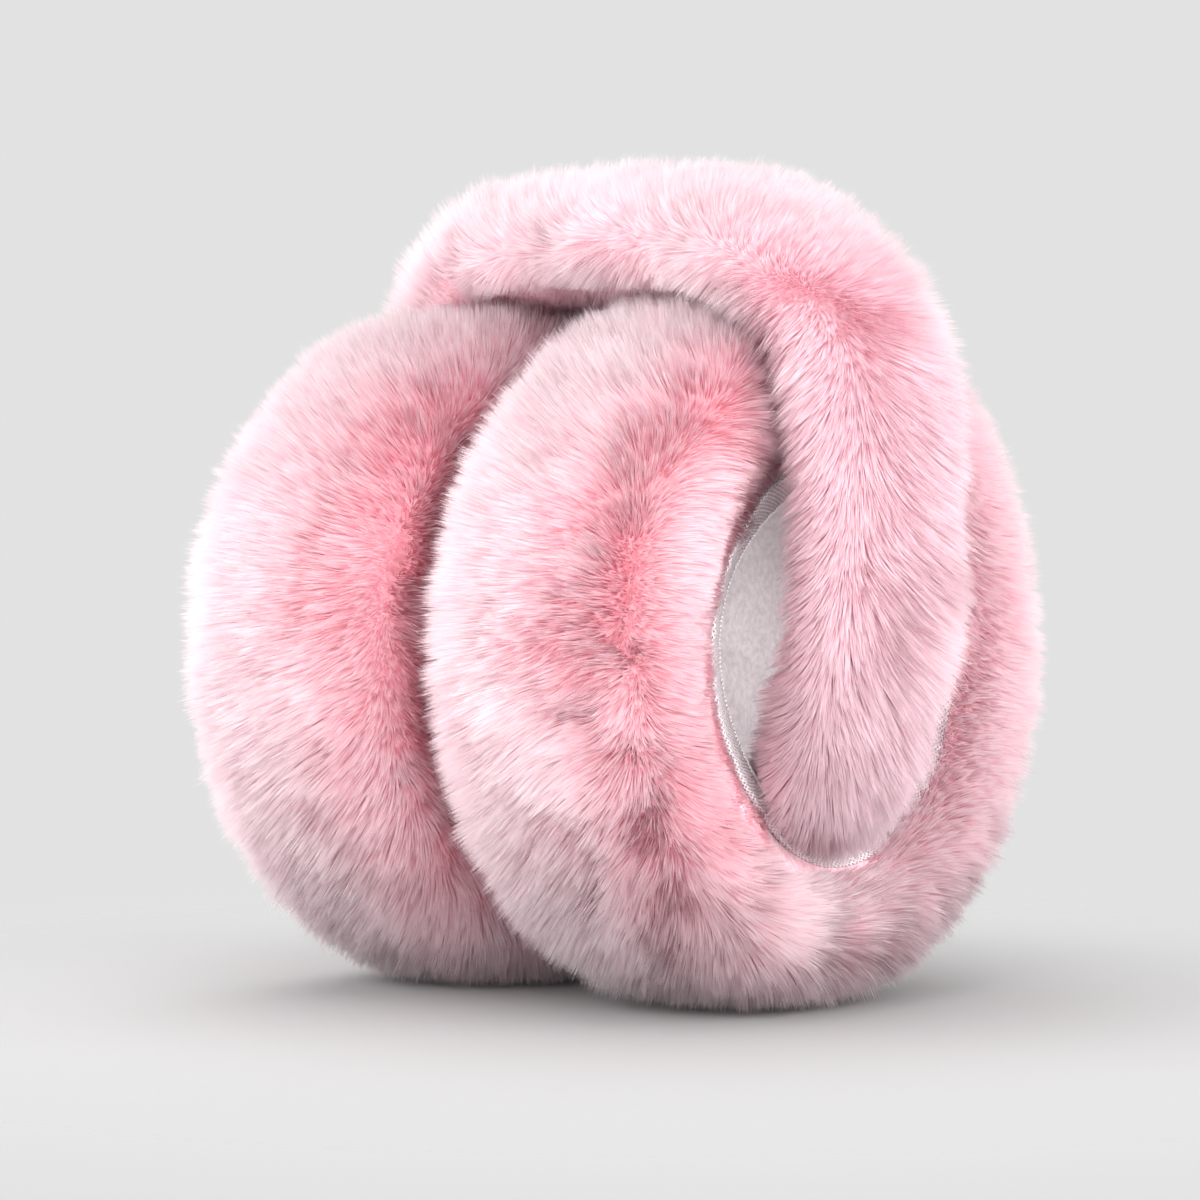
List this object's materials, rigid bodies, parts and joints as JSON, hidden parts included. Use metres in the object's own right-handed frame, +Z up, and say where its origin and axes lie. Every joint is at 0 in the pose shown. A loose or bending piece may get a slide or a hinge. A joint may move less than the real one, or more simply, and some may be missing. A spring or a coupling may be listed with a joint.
{
  "type": "fur earmuffs",
  "caption": "Soft plush fur earmuffs, rolled up for storage: round lined ear cups side by side and a padded fur band curled over them.",
  "frame": {"origin": "on the floor under the middle of the rolled-up earmuffs", "axes": "+Z up, both cups' axes along X with their ear openings facing +X, the band over the top"},
  "size_m": [0.1332, 0.1278, 0.1462],
  "materials": {
    "pink_fur": "dense soft pink faux fur pile",
    "white_fleece": "off-white brushed fleece",
    "white_tape": "off-white knitted elastic tape"
  },
  "bodies": {
    "root": {"left_cup_fur": "pink_fur", "left_cup_lining": "white_fleece", "left_edge_tape": "white_tape", "right_cup_fur": "pink_fur", "right_cup_lining": "white_fleece", "right_edge_tape": "white_tape", "band_fur": "pink_fur"}
  },
  "joints": []
}
